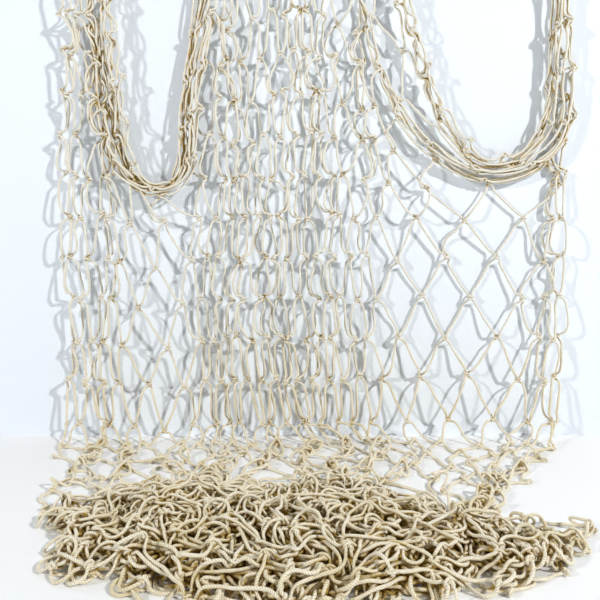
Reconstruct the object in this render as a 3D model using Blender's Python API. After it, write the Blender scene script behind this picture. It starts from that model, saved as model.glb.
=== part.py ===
"""Knotted cotton fishing net, hung from its top edge, swagged twice and heaped on the floor.

The frame is the middle of the net's top edge: +X runs along the edge, -Y points away from the
wall behind the net, and +Z is up. The floor lies HANG_HEIGHT below the top edge.
Tables are in millimetres, with heights above the floor. Everything else is in metres.
"""

import math
from collections import namedtuple

import bmesh
import bpy
from mathutils import Vector

# ---------------------------------------------------------------- sizes
HANG_HEIGHT = 0.523  # top edge above the floor
COLUMNS = 24  # meshes across the net
ROWS = 32  # rows of meshes below the top edge
GATHERED_TOP = -6  # first row of the net in the swags, above the top edge's row 0
GATHERED_SPANS = ((3, 9), (18, 24))  # columns of the two swags
ROW_PITCH = 0.0415  # height of one hung row
LOW_LEVEL = 0.200  # heights above the floor that the guide table gives besides the edge
FOOT_LEVEL = 0.030

PITCH_STEP = 2  # the solid has every second column and row of the net
CORD_WIDTH = 0.0040
CORD_HEIGHT = 0.0034
CORD_BACK = CORD_HEIGHT / 3  # from the line of a strand to its flat back
KNOT_REACH = 0.0038  # from a knot's middle to its corners
KNOT_HEIGHT = 0.0048
BAR_STEPS = 4  # straight lengths in one bar between two knots
SLOPE_REACH = 0.15  # columns to each side over which a swag's direction is read
FRAME_REACH = 0.25  # columns and rows over which the directions of the strands are read
AHEAD = 0.1  # share of a bar over which its direction is read

EASE = 0.007  # rounding where a row leaves its swag or reaches the floor
ROW_EASE = 0.3  # the same in rows, where rows stop stacking along a swag
PARTING_ROWS = (-1.5, 0.5)  # rows over which a swag parts into two strands

HEAP_MIDDLE = -0.026  # its place across
HEAP_FRONT = 0.285  # from the wall to the front of the heap, and to its back
HEAP_BACK = 0.160
HEAP_NARROWING = 0.57  # share of its width that the net loses towards the front
RIGHT_NARROWING = 0.13  # what the right side loses besides
NARROWING_SIDE = (0.0, 0.10)  # places across between which that begins
HEAP_HALF_WIDTH = 0.270  # of the round curve that its front follows
LEAST_ROUNDING = 0.12  # the least that the curve's square gets at the heap's two ends
BACK_SHIFT = 0.055  # how far the back of the heap lies forward on the right
SHIFT_SIDE = (0.0, 0.09)  # places across between which that begins, and rows
SHIFT_ROWS = (16.0, 21.5)
BULGE = 0.030  # how far the heap's front bulges in its middle
BULGE_MIDDLE = -0.015
BULGE_WIDTH = 0.050
SIDE_BULGE = 0.014  # the same at the heap's right side
SIDE_BULGE_FROM = (0.06, 0.11)
BULGE_DEPTHS = (0.18, 0.27)

FLOOR_LEFT = -0.290  # sides of the evenly spread net on the floor behind the heap
FLOOR_RIGHT = 0.252
EVENNESS = 0.75  # how far the columns move to their even places there
LOOSE_ROWS = (11.5, 13.5)  # rows over which that evenness begins
HEAPED_ROWS = (17.0, 20.0)  # rows over which it ends
SPREAD_ROWS = (14.5, 19.5)  # rows over which the pleats begin
PLEAT_REACH = 0.085  # sideways swing of the pleats in the heap
PLEAT_COLUMNS = 7.5  # columns in one pleat
PLEAT_DRIFT = 0.22  # turn of the pleats from row to row
PLEAT_DEPTH = 0.022  # swing of the pleats to the front and the back
PLEAT_LIFT = 0.010
DEPTH_TURN = 0.4  # how much the swings in depth and height differ in turn from the sideways one
LIFT_TURN = -0.6
EDGE_CALM = 0.7  # share of the pleats' swing that is lost towards the net's two edges
FLOOR_ROWS = (12.5, 14.0)
HUNG_ROWS = (10.0, 12.5)  # rows over which the net leaves the wall
CLOSENESS = 0.003  # how much closer to the wall the right side hangs
CLOSE_COLUMNS = (15.0, 20.0)
CLOSE_ROWS = (-1.0, 4.0)
SAG_ROWS = (0.0, 2.0)
DIP = 0.016  # how far the net sags under the left swag
DIP_COLUMN = 5.0
DIP_WIDTH = 0.55
DIP_ROWS = (5.5, 7.0)

# Waves that make the net uneven: their size, and their turns for each column and row.
Wave = namedtuple("Wave", "size by_column by_row")
STAND_OFF = Wave(0.004, 0.9, 0.6)  # of the hung cords from the wall
SAG = Wave(0.004, 1.9, 2.3)  # of the hung knots
FLOOR_LIFT = Wave(0.002, 1.7, 1.1)
HEAP_SWAY = Wave(0.008, 0.9, 1.3)  # of the heap, across and in depth
HEAP_DEPTH = Wave(0.008, 0.83, 0.5)
HEAP_FINE_DEPTH = Wave(0.006, 2.1, -0.7)

# ---------------------------------------------------------------- tables
# One row for each column line: where its top end hangs, how thick the gathered rows and how wide
# the space between the two strands of a double swag are there, and its place further down.
Guide = namedtuple("Guide", "column edge_x edge_z band parting low_x foot_x")
GUIDES = [
    Guide(0, -274, 523, 0, 0, -274, -262),
    Guide(1, -267, 523, 0, 0, -262, -253),
    Guide(2, -258, 523, 4, 0, -247, -237),
    Guide(3, -222, 523, 28, 0, -223, -220),
    Guide(3.78, -220, 449, 28, 0, -218, -205),
    Guide(4.32, -216, 398, 27, 0, -209, -190),
    Guide(4.86, -210, 346, 25, 0, -180, -165),
    Guide(5.3, -205, 305, 21, 0, -152, -147),
    Guide(5.63, -198, 275, 18, 0, -142, -140),
    Guide(5.83, -185, 261, 17, 0, -139, -136),
    Guide(5.98, -171, 257, 17, 0, -136, -133),
    Guide(6.13, -157, 261, 17, 0, -134, -130),
    Guide(6.5, -151, 295, 18, 0, -129, -122),
    Guide(7.04, -152, 346, 20, 0, -122, -109),
    Guide(7.59, -145, 398, 24, 0, -115, -102),
    Guide(8.13, -137, 449, 25, 0, -107, -97),
    Guide(9, -130, 523, 26, 0, -93, -87),
    Guide(12, -55, 523, 0, 0, -51, -49),
    Guide(17, 10, 523, 2, 4, 24, 26),
    Guide(18, 72, 523, 24, 26, 41, 44),
    Guide(18.83, 88, 449, 24, 27, 68, 70),
    Guide(19.35, 100, 404, 24, 27, 93, 94),
    Guide(19.86, 114, 361, 23, 25, 121, 121),
    Guide(20.21, 127, 332, 22, 21, 140, 139),
    Guide(20.5, 143, 310, 21, 15, 156, 154),
    Guide(20.73, 155, 294, 20, 10, 169, 167),
    Guide(20.92, 169, 284, 19, 7, 180, 178),
    Guide(21.12, 187, 285, 18, 7, 191, 189),
    Guide(21.31, 203, 291, 18, 10, 202, 200),
    Guide(21.51, 217, 303, 18, 15, 212, 210),
    Guide(21.66, 225, 314, 18, 18, 219, 217),
    Guide(22.04, 232, 346, 17, 15, 230, 227),
    Guide(22.61, 236, 398, 15, 8, 238, 234),
    Guide(23.18, 238, 449, 14, 3, 244, 240),
    Guide(24, 240, 523, 13, 0, 251, 247),
]

# One row for each fold of the net's lower part: its distance from the wall and its height.
Fold = namedtuple("Fold", "row depth height")
FOLDS = [
    Fold(-6.0, 10, 2),
    Fold(11.0, 10, 2),
    Fold(12.2, 18, 2),
    Fold(13.0, 40, 2),
    Fold(14.0, 70, 3),
    Fold(15.0, 102, 3),
    Fold(16.0, 134, 4),
    Fold(17.5, 176, 4),
    Fold(19.0, 224, 5),
    Fold(20.5, 246, 4),
    Fold(21.5, 282, 5),
    Fold(22.5, 290, 10),
    Fold(23.5, 278, 13),
    Fold(24.5, 234, 14),
    Fold(26.5, 214, 14),
    Fold(27.5, 180, 16),
    Fold(29.0, 168, 20),
    Fold(30.0, 178, 26),
    Fold(31.0, 220, 29),
    Fold(33.0, 234, 30),
]


# ---------------------------------------------------------------- the net's surface
def read_table(table, at):
    """The table's row at a place between its rows, on a smooth curve through them."""
    at = min(max(at, table[0][0]), table[-1][0])
    i = max(k for k in range(len(table) - 1) if table[k][0] <= at)
    before, after = table[max(i - 1, 0)], table[min(i + 2, len(table) - 1)]
    start, end = table[i], table[i + 1]
    span = end[0] - start[0]
    t = (at - start[0]) / span
    values = [at]
    for k in range(1, len(start)):
        slope_in = (end[k] - before[k]) / (end[0] - before[0]) * span
        slope_out = (after[k] - start[k]) / (after[0] - start[0]) * span
        values.append(
            (2 * t**3 - 3 * t**2 + 1) * start[k]
            + (t**3 - 2 * t**2 + t) * slope_in
            + (3 * t**2 - 2 * t**3) * end[k]
            + (t**3 - t**2) * slope_out
        )
    return type(start)(*values)


def ramp(value, low, high):
    """0 up to low, 1 from high on, and a smooth rise between."""
    t = min(max((value - low) / (high - low), 0.0), 1.0)
    return t * t * (3 - 2 * t)


def swing(wave, column, row):
    """How far a wave moves the net at a column and a row."""
    return wave.size * math.sin(wave.by_column * column + wave.by_row * row)


def soft_min(a, b, ease):
    """The smaller of two values, with a rounded change from one to the other."""
    return min(a, b) - ease * math.log1p(math.exp(-abs(a - b) / ease))


def hung_place(column, row):
    """Sideways place and height above the floor of a point of the hung part."""
    guide = read_table(GUIDES, column)
    inside = min(max(column, SLOPE_REACH), COLUMNS - SLOPE_REACH)
    left, right = read_table(GUIDES, inside - SLOPE_REACH), read_table(GUIDES, inside + SLOPE_REACH)
    edge_x, edge_z = guide.edge_x / 1000, guide.edge_z / 1000
    level = soft_min(HANG_HEIGHT - ROW_PITCH * row, edge_z, EASE)

    level -= DIP * ramp(row, *DIP_ROWS) * math.exp(-(((column - DIP_COLUMN) / DIP_WIDTH) ** 2))
    fallen = ramp(edge_z - level, 0.0, edge_z - LOW_LEVEL)
    x = edge_x + (guide.low_x / 1000 - edge_x) * fallen
    x += (guide.foot_x - guide.low_x) / 1000 * ramp(LOW_LEVEL - level, 0.0, LOW_LEVEL - FOOT_LEVEL)

    # rows above a swag's edge run side by side along it, each a little further out than the last
    gathered = (HANG_HEIGHT - edge_z) / ROW_PITCH
    reached = soft_min(row, gathered, ROW_EASE) - GATHERED_TOP
    offset = guide.band / 1000 * max(reached, 0.0) / (gathered - GATHERED_TOP)
    offset += guide.parting / 1000 * ramp(row, *PARTING_ROWS)
    offset *= 1 - fallen
    along_x, along_z = right.edge_x - left.edge_x, right.edge_z - left.edge_z
    length = math.hypot(along_x, along_z)
    return x + offset * along_z / length, level - offset * along_x / length


def pleated(column, row, x, depth, height):
    """Moves a point of the floor part sideways, in depth and in height into the heap's pleats."""
    spread = ramp(row, *SPREAD_ROWS)
    turn = 2 * math.pi * column / PLEAT_COLUMNS + PLEAT_DRIFT * row
    inner = 1 - EDGE_CALM * abs(column / COLUMNS * 2 - 1)
    loose = ramp(row, *LOOSE_ROWS) * (1 - ramp(row, *HEAPED_ROWS))
    x += EVENNESS * loose * (FLOOR_LEFT + (FLOOR_RIGHT - FLOOR_LEFT) * column / COLUMNS - x)
    narrowing = HEAP_NARROWING + RIGHT_NARROWING * ramp(x, *NARROWING_SIDE)
    x -= narrowing * depth / HEAP_FRONT * (x - HEAP_MIDDLE)
    x += spread * PLEAT_REACH * inner * math.sin(turn)
    x += spread * swing(HEAP_SWAY, column, row)

    rounded = math.sqrt(max(1 - ((x - HEAP_MIDDLE) / HEAP_HALF_WIDTH) ** 2, LEAST_ROUNDING))
    depth -= max(depth - HEAP_BACK, 0.0) * (1 - rounded)
    behind = max(HEAP_FRONT - depth, 0.0) / (HEAP_FRONT - HEAP_BACK)
    depth += BACK_SHIFT * behind * ramp(x, *SHIFT_SIDE) * ramp(row, *SHIFT_ROWS)
    depth += spread * PLEAT_DEPTH * inner * math.cos(turn + DEPTH_TURN)
    depth += spread * swing(HEAP_DEPTH, column, row)
    depth += spread * swing(HEAP_FINE_DEPTH, column, row)
    front = ramp(depth, *BULGE_DEPTHS)
    depth += front * BULGE * math.exp(-(((x - BULGE_MIDDLE) / BULGE_WIDTH) ** 2))
    depth += front * SIDE_BULGE * ramp(x, *SIDE_BULGE_FROM)

    height += spread * PLEAT_LIFT * (1 + math.cos(turn + LIFT_TURN))
    height += ramp(row, *FLOOR_ROWS) * (FLOOR_LIFT.size + swing(FLOOR_LIFT, column, row))
    return x, depth, height


def net_point(column, row):
    """The middle of the net's cord at a column and a row, as they count across and down it."""
    x, level = hung_place(column, row)
    fold = read_table(FOLDS, row)
    height = -soft_min(-level, -fold.height / 1000, EASE / 2)
    x, depth, height = pleated(column, row, x, fold.depth / 1000, height)

    # the hung cords stand off the wall and sag by different amounts
    hung = 1 - ramp(row, *HUNG_ROWS)
    depth += hung * (STAND_OFF.size + swing(STAND_OFF, column, row))
    depth -= hung * CLOSENESS * ramp(column, *CLOSE_COLUMNS) * ramp(row, *CLOSE_ROWS)
    height += hung * ramp(row, *SAG_ROWS) * swing(SAG, column, row)
    return Vector((x, -depth, height - HANG_HEIGHT))


def net_frame(column, row):
    """Unit vectors across, down and out of the net's front at a point, from its two sets of bars."""
    side, drop = FRAME_REACH, 2 * FRAME_REACH
    falling = net_point(column + side, row + drop) - net_point(column - side, row - drop)
    rising = net_point(column + side, row - drop) - net_point(column - side, row + drop)
    falling.normalize()
    rising.normalize()
    across = (falling + rising).normalized()
    down = (falling - rising).normalized()
    return across, down, down.cross(across)


# ---------------------------------------------------------------- the solid
def is_inside(column, row):
    """Whether the net has a knot at a column and a row of its grid."""
    if row >= 0:
        return True
    return any(low <= column <= high for low, high in GATHERED_SPANS)


def knot_places():
    """Column and row of each knot in the solid, keyed by its index across and down."""
    places = {}
    for down in range(GATHERED_TOP // PITCH_STEP, ROWS // PITCH_STEP + 1):
        odd = down % 2
        for across in range(COLUMNS // PITCH_STEP + 1 - odd):
            column, row = PITCH_STEP * (across + odd / 2), PITCH_STEP * down
            if is_inside(column, row):
                places[across, down] = (column, row)
    return places


def add_knot(mesh, column, row):
    """Corner vertices north, east, south and west of a knot's flat back, and its crown."""
    middle = net_point(column, row)
    across, down, front = net_frame(column, row)
    back = middle - front * CORD_BACK
    return {
        "north": mesh.verts.new(back - down * KNOT_REACH),
        "east": mesh.verts.new(back + across * KNOT_REACH),
        "south": mesh.verts.new(back + down * KNOT_REACH),
        "west": mesh.verts.new(back - across * KNOT_REACH),
        "crown": mesh.verts.new(back + front * KNOT_HEIGHT),
    }


def add_ring(mesh, start, end, part):
    """The three corners of a strand at a share of the way from one knot's place to another's."""
    step_column, step_row = end[0] - start[0], end[1] - start[1]
    column, row = start[0] + step_column * part, start[1] + step_row * part
    middle, front = net_point(column, row), net_frame(column, row)[2]
    ahead = net_point(column + step_column * AHEAD, row + step_row * AHEAD)
    left = front.cross(ahead - middle).normalized() * CORD_WIDTH / 2
    back = middle - front * CORD_BACK
    return (
        mesh.verts.new(back + left),
        mesh.verts.new(back - left),
        mesh.verts.new(back + front * CORD_HEIGHT),
    )


def add_bar(mesh, upper, lower, start, end):
    """A three-sided strand from an upper knot to a lower one, which shares their corners."""
    if end[0] > start[0]:
        ring = (upper["east"], upper["south"], upper["crown"])
        last = (lower["north"], lower["west"], lower["crown"])
    else:
        ring = (upper["south"], upper["west"], upper["crown"])
        last = (lower["east"], lower["north"], lower["crown"])
    for step in range(1, BAR_STEPS + 1):
        new = last if step == BAR_STEPS else add_ring(mesh, start, end, step / BAR_STEPS)
        for k in range(3):
            mesh.faces.new((ring[k], ring[(k + 1) % 3], new[(k + 1) % 3], new[k]))
        ring = new


def build_net():
    """The whole net as one closed solid of strands fused at their knots."""
    mesh = bmesh.new()
    places = knot_places()
    knots = {key: add_knot(mesh, *place) for key, place in places.items()}
    for (across, down), knot in knots.items():
        mesh.faces.new([knot[side] for side in ("north", "east", "south", "west")])
        odd = down % 2
        corners = {
            (across + odd, down + 1): ("east", "south"),
            (across - 1 + odd, down + 1): ("south", "west"),
            (across + odd, down - 1): ("north", "east"),
            (across - 1 + odd, down - 1): ("west", "north"),
        }
        for key, (first, second) in corners.items():
            if key not in knots:
                mesh.faces.new((knot[second], knot[first], knot["crown"]))
            elif key[1] > down:
                add_bar(mesh, knot, knots[key], places[across, down], places[key])
    bmesh.ops.triangulate(mesh, faces=mesh.faces[:])
    bmesh.ops.recalc_face_normals(mesh, faces=mesh.faces[:])
    if mesh.calc_volume(signed=True) < 0:
        bmesh.ops.reverse_faces(mesh, faces=mesh.faces[:])
    data = bpy.data.meshes.new("net")
    mesh.to_mesh(data)
    mesh.free()
    return data


def cotton_cord():
    """Undyed twisted cotton."""
    material = bpy.data.materials.new("cotton_cord")
    material.use_nodes = True
    shader = material.node_tree.nodes["Principled BSDF"]
    shader.inputs["Base Color"].default_value = (0.78, 0.70, 0.52, 1.0)
    shader.inputs["Roughness"].default_value = 0.9
    shader.inputs["Metallic"].default_value = 0.0
    return material


for old in list(bpy.data.objects):
    bpy.data.objects.remove(old)

net = bpy.data.objects.new("net", build_net())
net.data.materials.append(cotton_cord())
bpy.context.scene.collection.objects.link(net)
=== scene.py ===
"""Looks of a knotted cotton fishing net that hangs from its top edge and ends in a heap.

The frame is the middle of the net's top edge: +X runs along the edge, -Y points away from the
wall behind the net, and +Z is up. The floor lies HungShape.hang_height below the top edge.
Sizes are in metres, except in the two tables and the knot's paths, which are in millimetres.
"""

import logging
import math
from dataclasses import dataclass, field
from enum import Enum
from typing import NamedTuple, Sequence, Union

import bmesh
import bpy
import numpy as np
from mathutils import Matrix, Vector


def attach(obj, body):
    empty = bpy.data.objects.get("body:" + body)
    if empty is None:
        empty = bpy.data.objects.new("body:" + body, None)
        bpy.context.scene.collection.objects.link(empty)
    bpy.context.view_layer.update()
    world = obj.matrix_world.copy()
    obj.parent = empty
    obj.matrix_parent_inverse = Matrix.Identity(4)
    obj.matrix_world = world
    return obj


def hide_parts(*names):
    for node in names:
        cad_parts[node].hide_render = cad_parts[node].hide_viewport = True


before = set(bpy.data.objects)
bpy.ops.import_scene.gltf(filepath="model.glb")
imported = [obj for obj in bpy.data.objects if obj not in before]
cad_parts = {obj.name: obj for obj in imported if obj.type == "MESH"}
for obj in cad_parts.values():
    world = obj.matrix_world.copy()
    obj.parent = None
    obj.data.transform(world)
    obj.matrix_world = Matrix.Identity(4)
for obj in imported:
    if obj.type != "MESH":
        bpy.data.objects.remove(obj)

log = logging.getLogger("fishing_net")
MM = 0.001

# Least values, so that nothing is divided by nothing.
LEAST_LENGTH = 1e-9
LEAST_SPAN = 1e-6
LEAST_SIDE = 1e-7
LEAST_DRIFT = 1e-12
LEAST_SLANT = 1e-14

# The sockets of a Mix node that hold colours.
MIX_FIRST, MIX_SECOND, MIX_RESULT = 6, 7, 2

Span = tuple[float, float]
Colour = tuple[float, float, float]
Value = Union[bpy.types.NodeSocket, Colour, float]


# ---------------------------------------------------------------- the shape in which it hangs
class Guide(NamedTuple):
    """A column line, and how the net is gathered in a swag at its top end.

    Attributes:
        column: Its number across the net.
        edge_x: Where its top end hangs, sideways.
        edge_z: The height of its top end above the floor.
        band: The thickness of the gathered cords along the swag.
        parting: The space between the two strands of a double swag.
        low_x: Its sideways place at HungShape.low_level.
        foot_x: Its sideways place at HungShape.foot_level.
    """

    column: float
    edge_x: float
    edge_z: float
    band: float
    parting: float
    low_x: float
    foot_x: float


class Fold(NamedTuple):
    """A row line of the lower part: its distance from the wall and its height."""

    row: float
    depth: float
    height: float


GUIDES = (
    Guide(0, -274, 523, 0, 0, -274, -262),
    Guide(1, -267, 523, 0, 0, -262, -253),
    Guide(2, -258, 523, 4, 0, -247, -237),
    Guide(3, -222, 523, 28, 0, -223, -220),
    Guide(3.78, -220, 449, 28, 0, -218, -205),
    Guide(4.32, -216, 398, 27, 0, -209, -190),
    Guide(4.86, -210, 346, 25, 0, -180, -165),
    Guide(5.3, -205, 305, 21, 0, -152, -147),
    Guide(5.63, -198, 275, 18, 0, -142, -140),
    Guide(5.83, -185, 261, 17, 0, -139, -136),
    Guide(5.98, -171, 257, 17, 0, -136, -133),
    Guide(6.13, -157, 261, 17, 0, -134, -130),
    Guide(6.5, -151, 295, 18, 0, -129, -122),
    Guide(7.04, -152, 346, 20, 0, -122, -109),
    Guide(7.59, -145, 398, 24, 0, -115, -102),
    Guide(8.13, -137, 449, 25, 0, -107, -97),
    Guide(9, -130, 523, 26, 0, -93, -87),
    Guide(12, -55, 523, 0, 0, -51, -49),
    Guide(17, 10, 523, 2, 4, 24, 26),
    Guide(18, 72, 523, 24, 26, 41, 44),
    Guide(18.83, 88, 449, 24, 27, 68, 70),
    Guide(19.35, 100, 404, 24, 27, 93, 94),
    Guide(19.86, 114, 361, 23, 25, 121, 121),
    Guide(20.21, 127, 332, 22, 21, 140, 139),
    Guide(20.5, 143, 310, 21, 15, 156, 154),
    Guide(20.73, 155, 294, 20, 10, 169, 167),
    Guide(20.92, 169, 284, 19, 7, 180, 178),
    Guide(21.12, 187, 285, 18, 7, 191, 189),
    Guide(21.31, 203, 291, 18, 10, 202, 200),
    Guide(21.51, 217, 303, 18, 15, 212, 210),
    Guide(21.66, 225, 314, 18, 18, 219, 217),
    Guide(22.04, 232, 346, 17, 15, 230, 227),
    Guide(22.61, 236, 398, 15, 8, 238, 234),
    Guide(23.18, 238, 449, 14, 3, 244, 240),
    Guide(24, 240, 523, 13, 0, 251, 247),
)

FOLDS = (
    Fold(-6.0, 10, 2),
    Fold(11.0, 10, 2),
    Fold(12.2, 18, 2),
    Fold(13.0, 40, 2),
    Fold(14.0, 70, 3),
    Fold(15.0, 102, 3),
    Fold(16.0, 134, 4),
    Fold(17.5, 176, 4),
    Fold(19.0, 224, 5),
    Fold(20.5, 246, 4),
    Fold(21.5, 282, 5),
    Fold(22.5, 290, 10),
    Fold(23.5, 278, 13),
    Fold(24.5, 234, 14),
    Fold(26.5, 214, 14),
    Fold(27.5, 180, 16),
    Fold(29.0, 168, 20),
    Fold(30.0, 178, 26),
    Fold(31.0, 220, 29),
    Fold(33.0, 234, 30),
    Fold(34.0, 262, 30),
    Fold(36.0, 278, 26),
    Fold(37.5, 252, 32),
    Fold(39.0, 214, 34),
    Fold(40.5, 190, 33),
    Fold(42.0, 222, 38),
    Fold(44.0, 262, 34),
)


class Wave(NamedTuple):
    """A sine wave over the net's columns and rows.

    Attributes:
        reach: How far it swings.
        per_column: How far it turns from one column to the next, in radians.
        per_row: How far it turns from one row to the next.
        start: Its turn at the first column and row.
    """

    reach: float
    per_column: float
    per_row: float
    start: float = 0.0

    def swing(self, strength: float, column: float, row: float) -> float:
        """The wave at a column and a row, to both sides."""
        turn = self.per_column * column + self.per_row * row + self.start
        return strength * self.reach * math.sin(turn)

    def rise(self, strength: float, column: float, row: float) -> float:
        """The wave at a column and a row, to one side alone."""
        turn = self.per_column * column + self.per_row * row + self.start
        return strength * self.reach * (1 + math.sin(turn))


SWAG_WANDER = (Wave(1.0, 5.1, 2.3), Wave(0.6, 8.3, -4.1))
STAND_OFF = Wave(0.004, 0.9, 0.6)
HUNG_SWAY = Wave(0.004, 1.9, 2.3)
FLOOR_LIFT = Wave(0.002, 1.7, 1.1)
FLOOR_SWAY = Wave(0.013, 2.9, 1.7)
FLOOR_DEPTH = Wave(0.011, 2.3, -2.1, 1.0)
HEAP_SWAY = Wave(0.008, 0.9, 1.3)
HEAP_DEPTHS = (Wave(0.008, 0.83, 0.5), Wave(0.006, 2.1, -0.7))


def hermite(t: float, start: float, leaving: float, end: float, arriving: float) -> float:
    """A point of a smooth curve.

    Args:
        t: The share of the way from its start to its end.
        start: Its value at the start.
        leaving: Its slope there.
        end: Its value at the end.
        arriving: Its slope there.

    Returns:
        The value, or an array of values where arrays are given.
    """
    return (
        (2 * t**3 - 3 * t**2 + 1) * start
        + (t**3 - 2 * t**2 + t) * leaving
        + (3 * t**2 - 2 * t**3) * end
        + (t**3 - t**2) * arriving
    )


def read_table(table: Sequence[NamedTuple], at: float) -> NamedTuple:
    """Reads a table between its rows, on a smooth curve through them.

    Args:
        table: Rows of one kind, in the order of their first value.
        at: The first value to read at.

    Returns:
        A row of the same kind.
    """
    at = min(max(at, table[0][0]), table[-1][0])
    i = max(k for k in range(len(table) - 1) if table[k][0] <= at)
    before, after = table[max(i - 1, 0)], table[min(i + 2, len(table) - 1)]
    start, end = table[i], table[i + 1]
    span = end[0] - start[0]
    values = [at]
    for k in range(1, len(start)):
        leaving = (end[k] - before[k]) / (end[0] - before[0]) * span
        arriving = (after[k] - start[k]) / (after[0] - start[0]) * span
        values.append(hermite((at - start[0]) / span, start[k], leaving, end[k], arriving))
    return type(start)(*values)


def ramp(value: float, low: float, high: float) -> float:
    """0 up to low, 1 from high on, and a smooth rise between."""
    t = min(max((value - low) / (high - low), 0.0), 1.0)
    return t * t * (3 - 2 * t)


def bell(value: float, middle: float, width: float) -> float:
    """1 at the middle, and a smooth fall towards 0 on both sides."""
    return math.exp(-(((value - middle) / width) ** 2))


def soft_min(a: float, b: float, ease: float) -> float:
    """The smaller of two values, with a rounded change from one to the other."""
    return min(a, b) - ease * math.log1p(math.exp(-abs(a - b) / ease))


@dataclass(frozen=True)
class HungShape:
    """The surface in which the net hangs, is gathered, spreads on the floor and is heaped.

    A span of rows, columns or places gives where something begins and where it is whole.

    Attributes:
        gathered_top: The first row of the parts that are gathered in swags.
        gathered_spans: The first and the last column of each swag.
        wanders: How far the cords of each swag wander across it.
        stagger: How far a swag's columns move along it in one row.
        look_aside: How far to both sides a swag's direction is read, in columns.
        sag: How far the net sags beside the small swag.
        low_level: The height of the guides' low_x, and foot_level that of their foot_x.
        closeness: How much closer to the wall the right part hangs.
        loose_from: Where the slack part on the floor begins. It ends in loose_to.
        evenness: How evenly its columns spread from floor_left to floor_right.
        least_round: The least share of the heap's depth, squared, at its sides.
        narrowing: How far the net is drawn in, to which right_narrowing adds on the right.
        pleat_slant: How far a pleat turns in one row.
        pleat_fading: How much smaller the pleats are at the selvedges.
        depth_turn: Where in a pleat it is farthest forward, and lift_turn where it is highest.
    """

    hang_height: float = 0.523
    columns: int = 24
    rows: int = 44
    gathered_top: int = -6
    gathered_spans: tuple[tuple[int, int], ...] = ((3, 9), (18, 24))
    row_pitch: float = 0.0415
    wanders: tuple[float, ...] = (0.0028, 0.0017)
    stagger: float = 0.035
    look_aside: float = 0.15
    level_ease: float = 0.007
    reach_ease: float = 0.3
    parting_rows: Span = (-1.5, 0.5)
    sag: float = 0.016
    sag_rows: Span = (5.5, 7.0)
    sag_column: float = 5.0
    sag_columns: float = 0.55
    low_level: float = 0.200
    foot_level: float = 0.030
    stand_off_rows: Span = (10.0, 12.5)
    upright_rows: Span = (0.0, 2.0)
    closeness: float = 0.008
    close_columns: Span = (15.0, 20.0)
    close_rows: Span = (-1.0, 4.0)
    loose_from: Span = (11.5, 13.5)
    loose_to: Span = (17.0, 20.0)
    evenness: float = 0.75
    floor_left: float = -0.290
    floor_right: float = 0.252
    lift_rows: Span = (12.5, 14.0)
    heap_rows: Span = (14.5, 19.5)
    heap_middle: float = -0.026
    heap_front: float = 0.285
    heap_back: float = 0.160
    heap_half_width: float = 0.270
    least_round: float = 0.12
    narrowing: float = 0.57
    right_narrowing: float = 0.13
    narrow_right: Span = (0.0, 0.10)
    right_shift: float = 0.055
    shift_right: Span = (0.0, 0.09)
    shift_rows: Span = (16.0, 21.5)
    front_depth: Span = (0.18, 0.27)
    front_bulge: float = 0.030
    bulge_middle: float = -0.015
    bulge_width: float = 0.05
    right_bulge: float = 0.014
    bulge_right: Span = (0.06, 0.11)
    pleat_columns: float = 7.5
    pleat_slant: float = 0.22
    pleat_fading: float = 0.7
    pleat_reach: float = 0.085
    pleat_depth: float = 0.022
    pleat_lift: float = 0.005
    depth_turn: float = 0.4
    lift_turn: float = -0.6

    def is_inside(self, column: float, row: int) -> bool:
        """Whether the net has a knot at a column and a row of its grid."""
        if row >= 0:
            return 0 <= column <= self.columns
        return any(low <= column <= high for low, high in self.gathered_spans)

    def rows_above(self, level: float) -> float:
        """How many rows fit between the top edge and a height above the floor."""
        return (self.hang_height - level) / self.row_pitch

    def _staggered(self, column: float, row: float) -> tuple[float, float]:
        """Where the cords gathered in a swag really run.

        Args:
            column: The column line.
            row: The row line.

        Returns:
            The column line moved along the swag, so that its knots don't lie side by side, and a
            small wandering across it, which makes the cords cross.
        """
        for (low, high), reach in zip(self.gathered_spans, self.wanders):
            if low < column < high:
                inner = min(ramp(column, low, low + 1.0), 1 - ramp(column, high - 1.0, high))
                gathered = self.rows_above(read_table(GUIDES, column).edge_z * MM)
                above = max(gathered - row, 0.0) * inner
                wander = sum(wave.swing(1.0, column, row) for wave in SWAG_WANDER)
                return column - self.stagger * above, reach * min(above, 1.0) * wander
        return column, 0.0

    def _swag_offset(self, guide: Guide, row: float, wander: float) -> float:
        """How far a gathered cord lies from its swag's first cord."""
        gathered = self.rows_above(guide.edge_z * MM)
        reached = soft_min(row, gathered, self.reach_ease) - self.gathered_top
        offset = guide.band * MM * max(reached, 0.0) / (gathered - self.gathered_top)
        return offset + (guide.parting * MM * ramp(row, *self.parting_rows) + wander)

    def _hung_place(self, column: float, row: float) -> tuple[float, float]:
        """Where a point of the hung part lies on the wall.

        Args:
            column: The column line.
            row: The row line.

        Returns:
            Its sideways place and its height above the floor.
        """
        column, wander = self._staggered(column, row)
        guide = read_table(GUIDES, column)
        inside = min(max(column, self.look_aside), self.columns - self.look_aside)
        left = read_table(GUIDES, inside - self.look_aside)
        right = read_table(GUIDES, inside + self.look_aside)
        edge_x, edge_z = guide.edge_x * MM, guide.edge_z * MM
        level = soft_min(self.hang_height - self.row_pitch * row, edge_z, self.level_ease)
        level -= self.sag * ramp(row, *self.sag_rows) * bell(column, self.sag_column, self.sag_columns)

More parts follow.
